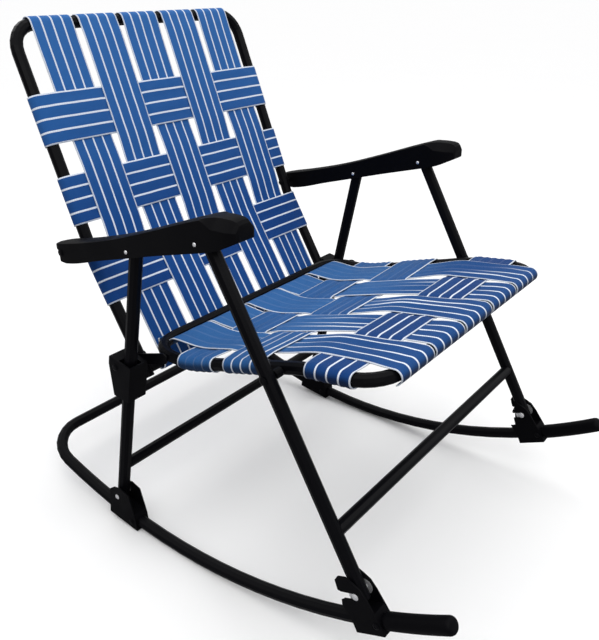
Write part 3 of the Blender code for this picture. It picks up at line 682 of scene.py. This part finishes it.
EDGE = (0.0024, 0.0018)              # chamfer across and down along the armrest's top edges
CHAMFER = (0.0090, 0.0122)           # what the front chamfer adds to that
CHAMFER_Y = -0.0460                  # it starts here as a point
CHAMFER_RUN = 0.0190
NOSE_Y = -0.0870                     # ahead of this the chamfer shrinks with the width
NOSE_W = 0.0224
ARM_SHARP = 22


def arm_ring(station, inset, drop):
    """Cross section of the armrest; inset and drop turn it into that of the hollow below."""
    y, w, top, bottom = station
    grow = min(1.0, max(0.0, (CHAMFER_Y - y) / CHAMFER_RUN))
    cx, cz = EDGE[0] + CHAMFER[0] * grow, EDGE[1] + CHAMFER[1] * grow
    if y < NOSE_Y:
        shrink = (w / NOSE_W) ** 1.5
        cx, cz = cx * shrink, cz * shrink
    w, top = w - inset, top - inset
    half = [(w, bottom - drop), (w, 0.5 * (bottom + top - cz)), (w, top - cz), (w - cx, top - 0.0008),
            (0.5 * (w - cx), top - 0.0002)]
    ring = half + [(0.0, top)] + [(-x, z) for x, z in reversed(half)]
    return [(x, y, z) for x, z in ring]


def resample(stations, step):
    """Extra stations on a smooth line through the given ones, never past them."""
    out = []
    for i in range(len(stations) - 1):
        p0 = stations[max(0, i - 1)]
        p1, p2 = stations[i], stations[i + 1]
        p3 = stations[min(len(stations) - 1, i + 2)]
        n = max(1, int(round((p2[0] - p1[0]) / step)))
        for j in range(n):
            t = j / n
            row = []
            for a, b, c, d in zip(p0, p1, p2, p3):
                v = 0.5 * (2 * b + (c - a) * t + (2 * a - 5 * b + 4 * c - d) * t * t
                           + (3 * b - a - 3 * c + d) * t ** 3)
                row.append(min(max(b, c), max(min(b, c), v)))
            out.append(tuple(row))
    out.append(stations[-1])
    return out


def hollow_out(obj, rings):
    """Cut a lofted shape out of an object, for good."""
    bm = loft(rings)
    mesh = bpy.data.meshes.new("hollow")
    bm.to_mesh(mesh)
    bm.free()
    tool = bpy.data.objects.new("hollow", mesh)
    scene.collection.objects.link(tool)
    cut = obj.modifiers.new("hollow", "BOOLEAN")
    cut.operation = "DIFFERENCE"
    cut.solver = "EXACT"
    cut.object = tool
    graph = bpy.context.evaluated_depsgraph_get()
    made = bpy.data.meshes.new_from_object(obj.evaluated_get(graph))
    old = obj.data
    obj.modifiers.clear()
    obj.data = made
    bpy.data.meshes.remove(old)
    bpy.data.objects.remove(tool, do_unlink=True)
    bpy.data.meshes.remove(mesh)


def armrest(tag, side):
    stations = resample(ARM_STATIONS, ARM_STEP)
    bm = loft([arm_ring(station, 0.0, 0.0) for station in stations])
    obj = new_object("armrest_moulding_" + tag, bm, PLASTIC, "arm_" + tag, "armrest_" + tag)
    inner = [station for station in stations if ARM_HOLLOW[0] < station[0] < ARM_HOLLOW[1]]
    hollow_out(obj, [arm_ring(station, ARM_WALL, 0.02) for station in inner])
    mesh = obj.data
    mesh.transform(Matrix.Translation((side * ARM_X, 0.0, 0.0)))
    mesh.materials.clear()
    mesh.materials.append(PLASTIC)
    mesh.shade_smooth()
    mesh.set_sharp_from_angle(angle=math.radians(ARM_SHARP))
    break_edges(obj, 0.0005, ARM_SHARP)


armrest("left", 1.0)
armrest("right", -1.0)

# ---------------------------------------------------------------- armrest rivets
RIVET_HEAD = [(0.0029, 0.0), (0.0028, 0.0004), (0.0023, 0.0009), (0.0014, 0.0013), (0.0005, 0.0014)]
RIVET_R = 0.0024
RIVET_SIDES = 24


def domed_rivet(place, tag, x, reach, centre):
    """A rivet through the armrest with a small domed head at each side; heads are (radius, height)."""
    x0, x1 = x - reach, x + reach
    profile = [(r, x0 - h) for r, h in reversed(RIVET_HEAD)]
    profile += [(RIVET_R, x0 + 0.0002), (RIVET_R, x1 - 0.0002)]
    profile += [(r, x1 + h) for r, h in RIVET_HEAD]
    rings = []
    for r, across in profile:
        turns = [2 * math.pi * k / RIVET_SIDES for k in range(RIVET_SIDES)]
        rings.append([(across, centre[0] + r * math.cos(t), centre[1] + r * math.sin(t)) for t in turns])
    name = "armrest_%s_rivet_%s" % (place, tag)
    new_object(name, loft(rings), ZINC, "arm_" + tag, "arm_%s_rivet_%s" % (place, tag), 50)


for tag, side in (("left", 1.0), ("right", -1.0)):
    domed_rivet("front", tag, side * ARM_X, 0.0226, ARM_FRONT)
    domed_rivet("rear", tag, side * ARM_X, 0.0182, ARM_REAR)


# ---------------------------------------------------------------- brackets, sliders and sleeves
def softened(name, node, body, width):
    """A moulded or pressed part with its edges broken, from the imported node's own shape."""
    source = NODES[node]
    bm = bmesh.new()
    bm.from_mesh(source.data)
    bm.transform(source.matrix_world)
    bmesh.ops.remove_doubles(bm, verts=bm.verts, dist=0.00002)
    bmesh.ops.dissolve_limit(bm, angle_limit=math.radians(1.0), verts=bm.verts, edges=bm.edges)
    obj = new_object(name, bm, PLASTIC, body, node, 25)
    break_edges(obj, width, 35)


SLEEVE_R = LEG_R + 0.0022
SLEEVE_LENGTH = 0.102
SLEEVE_SIDES = 40
SLEEVE_TIP = -ROCKER_FRONT - 0.0035
SLEEVE_NOSE = [(0.0, 0.0062), (0.0003, 0.0082), (0.0011, 0.0098), (0.0024, 0.0110), (0.0042, 0.0118),
               (0.0064, SLEEVE_R)]   # distance from the tip, radius
SLEEVE_LIP = [(SLEEVE_LENGTH - 0.0030, SLEEVE_R), (SLEEVE_LENGTH - 0.0004, SLEEVE_R - 0.0002),
              (SLEEVE_LENGTH, SLEEVE_R - 0.0008), (SLEEVE_LENGTH, LEG_R + 0.0003)]


def on_rocker(s):
    """Point and normal on the rocker's centre-line, at length s from where it meets the floor."""
    t = s / ROCKER_RADIUS
    centre = (ROCKER_Y + ROCKER_RADIUS * math.sin(t), LEG_R + ROCKER_RADIUS * (1.0 - math.cos(t)))
    return centre, (-math.sin(t), math.cos(t))


def end_sleeve(tag, side):
    """The sleeve on the open end of the rocker, with a well rounded end."""
    middle = [(SLEEVE_NOSE[-1][0] + 0.0100 * i, SLEEVE_R) for i in range(1, 10)]
    rings = []
    for ahead, r in SLEEVE_NOSE + middle + SLEEVE_LIP:
        centre, n = on_rocker(SLEEVE_TIP + ahead)
        ring = []
        for k in range(SLEEVE_SIDES):
            a = 2.0 * math.pi * k / SLEEVE_SIDES
            ring.append((side * LEG_X + r * math.cos(a), *add2(centre, n, r * math.sin(a))))
        rings.append(ring)
    new_object("rocker_end_sleeve_" + tag, loft(rings), PLASTIC, "rocker", "rocker_sleeve_" + tag, 40)


for tag, side in (("left", 1.0), ("right", -1.0)):
    softened("front_foot_bracket_" + tag, "front_bracket_" + tag, "rocker", 0.0009)
    softened("rear_foot_bracket_" + tag, "rear_bracket_" + tag, "rocker", 0.0009)
    softened("leg_guide_" + tag, "leg_slider_" + tag, "slider_" + tag, 0.0010)
    end_sleeve(tag, side)

# ---------------------------------------------------------------- floor, light and camera
FLOOR_SIZE = 60.0
FLOOR_DROP = 0.0002
SIDE_LIGHT = 0.22                    # strength of the soft box at the horizon and overhead
TOP_LIGHT = 1.40
LIGHTS = (  # name, place, target, size, watts
    ("key", (-1.4, -1.6, 2.4), (0.0, 0.0, 0.4), 1.6, 18.0),
    ("fill", (1.8, -1.4, 1.6), (0.0, 0.0, 0.4), 2.0, 6.0),
    ("rim", (0.3, 2.0, 2.2), (0.0, 0.0, 0.5), 1.6, 8.0),
)
CAMERA_AT = (-0.88598, -0.65293, 0.85668)
CAMERA_HEADING = math.radians(-52.30)
CAMERA_TILT = math.radians(25.206)
CAMERA_LENS = 40.96


def pale_floor():
    """A white floor that gives little light back to the chair's underside."""
    bm = bmesh.new()
    bmesh.ops.create_grid(bm, x_segments=8, y_segments=8, size=FLOOR_SIZE)
    mesh = bpy.data.meshes.new("floor")
    bm.to_mesh(mesh)
    bm.free()
    floor = bpy.data.objects.new("floor", mesh)
    floor.location = (0.0, 0.0, -FLOOR_DROP)
    scene.collection.objects.link(floor)
    paint = Nodes("pale_floor")
    pale = paint.mix(paint.noise(paint.coords(), 1.5), (0.99, 0.99, 0.995, 1.0), (1.0, 1.0, 1.0, 1.0))
    seen = paint.tree.nodes.new("ShaderNodeLightPath").outputs["Is Camera Ray"]
    paint.colour(paint.mix(seen, (0.30, 0.30, 0.31, 1.0), pale))
    paint.shader.inputs["Roughness"].default_value = 0.9
    paint.shader.inputs["Specular IOR Level"].default_value = 0.1
    mesh.materials.append(paint.mat)


def studio_world():
    """White behind the chair, and for the light itself a soft box that is strongest overhead."""
    world = bpy.data.worlds.new("studio")
    world.use_nodes = True
    tree = world.node_tree
    sky = tree.nodes["Background"]
    path = tree.nodes.new("ShaderNodeLightPath")
    where = tree.nodes.new("ShaderNodeTexCoord")
    axes = tree.nodes.new("ShaderNodeSeparateXYZ")
    tree.links.new(where.outputs["Generated"], axes.inputs[0])
    rise = tree.nodes.new("ShaderNodeMapRange")
    rise.inputs["To Min"].default_value = SIDE_LIGHT
    rise.inputs["To Max"].default_value = TOP_LIGHT
    tree.links.new(axes.outputs["Z"], rise.inputs["Value"])
    choose = tree.nodes.new("ShaderNodeMix")
    choose.data_type = "FLOAT"
    tree.links.new(path.outputs["Is Camera Ray"], choose.inputs[0])
    tree.links.new(rise.outputs[0], choose.inputs[2])
    choose.inputs[3].default_value = 1.0
    tree.links.new(choose.outputs[0], sky.inputs["Strength"])
    sky.inputs["Color"].default_value = (1.0, 1.0, 1.0, 1.0)
    scene.world = world


def area_light(name, place, target, size, power):
    data = bpy.data.lights.new(name, "AREA")
    data.shape = "DISK"
    data.size = size
    data.energy = power
    obj = bpy.data.objects.new(name, data)
    obj.location = place
    obj.rotation_mode = "QUATERNION"
    obj.rotation_quaternion = (Vector(target) - Vector(place)).to_track_quat("-Z", "Y")
    scene.collection.objects.link(obj)


def add_camera():
    data = bpy.data.cameras.new("camera")
    data.sensor_fit = "AUTO"
    data.sensor_width = 36.0
    data.lens = CAMERA_LENS
    data.clip_start = 0.01
    data.clip_end = 200.0
    camera = bpy.data.objects.new("camera", data)
    a, e = CAMERA_HEADING, CAMERA_TILT
    right = Vector((math.cos(a), math.sin(a), 0.0))
    back = Vector((math.sin(a) * math.cos(e), -math.cos(a) * math.cos(e), math.sin(e)))
    turn = Matrix((right, back.cross(right), back)).transposed().to_4x4()
    camera.matrix_world = Matrix.Translation(CAMERA_AT) @ turn
    scene.collection.objects.link(camera)
    scene.camera = camera


pale_floor()
studio_world()
for light in LIGHTS:
    area_light(*light)
add_camera()
scene.view_settings.view_transform = "Standard"
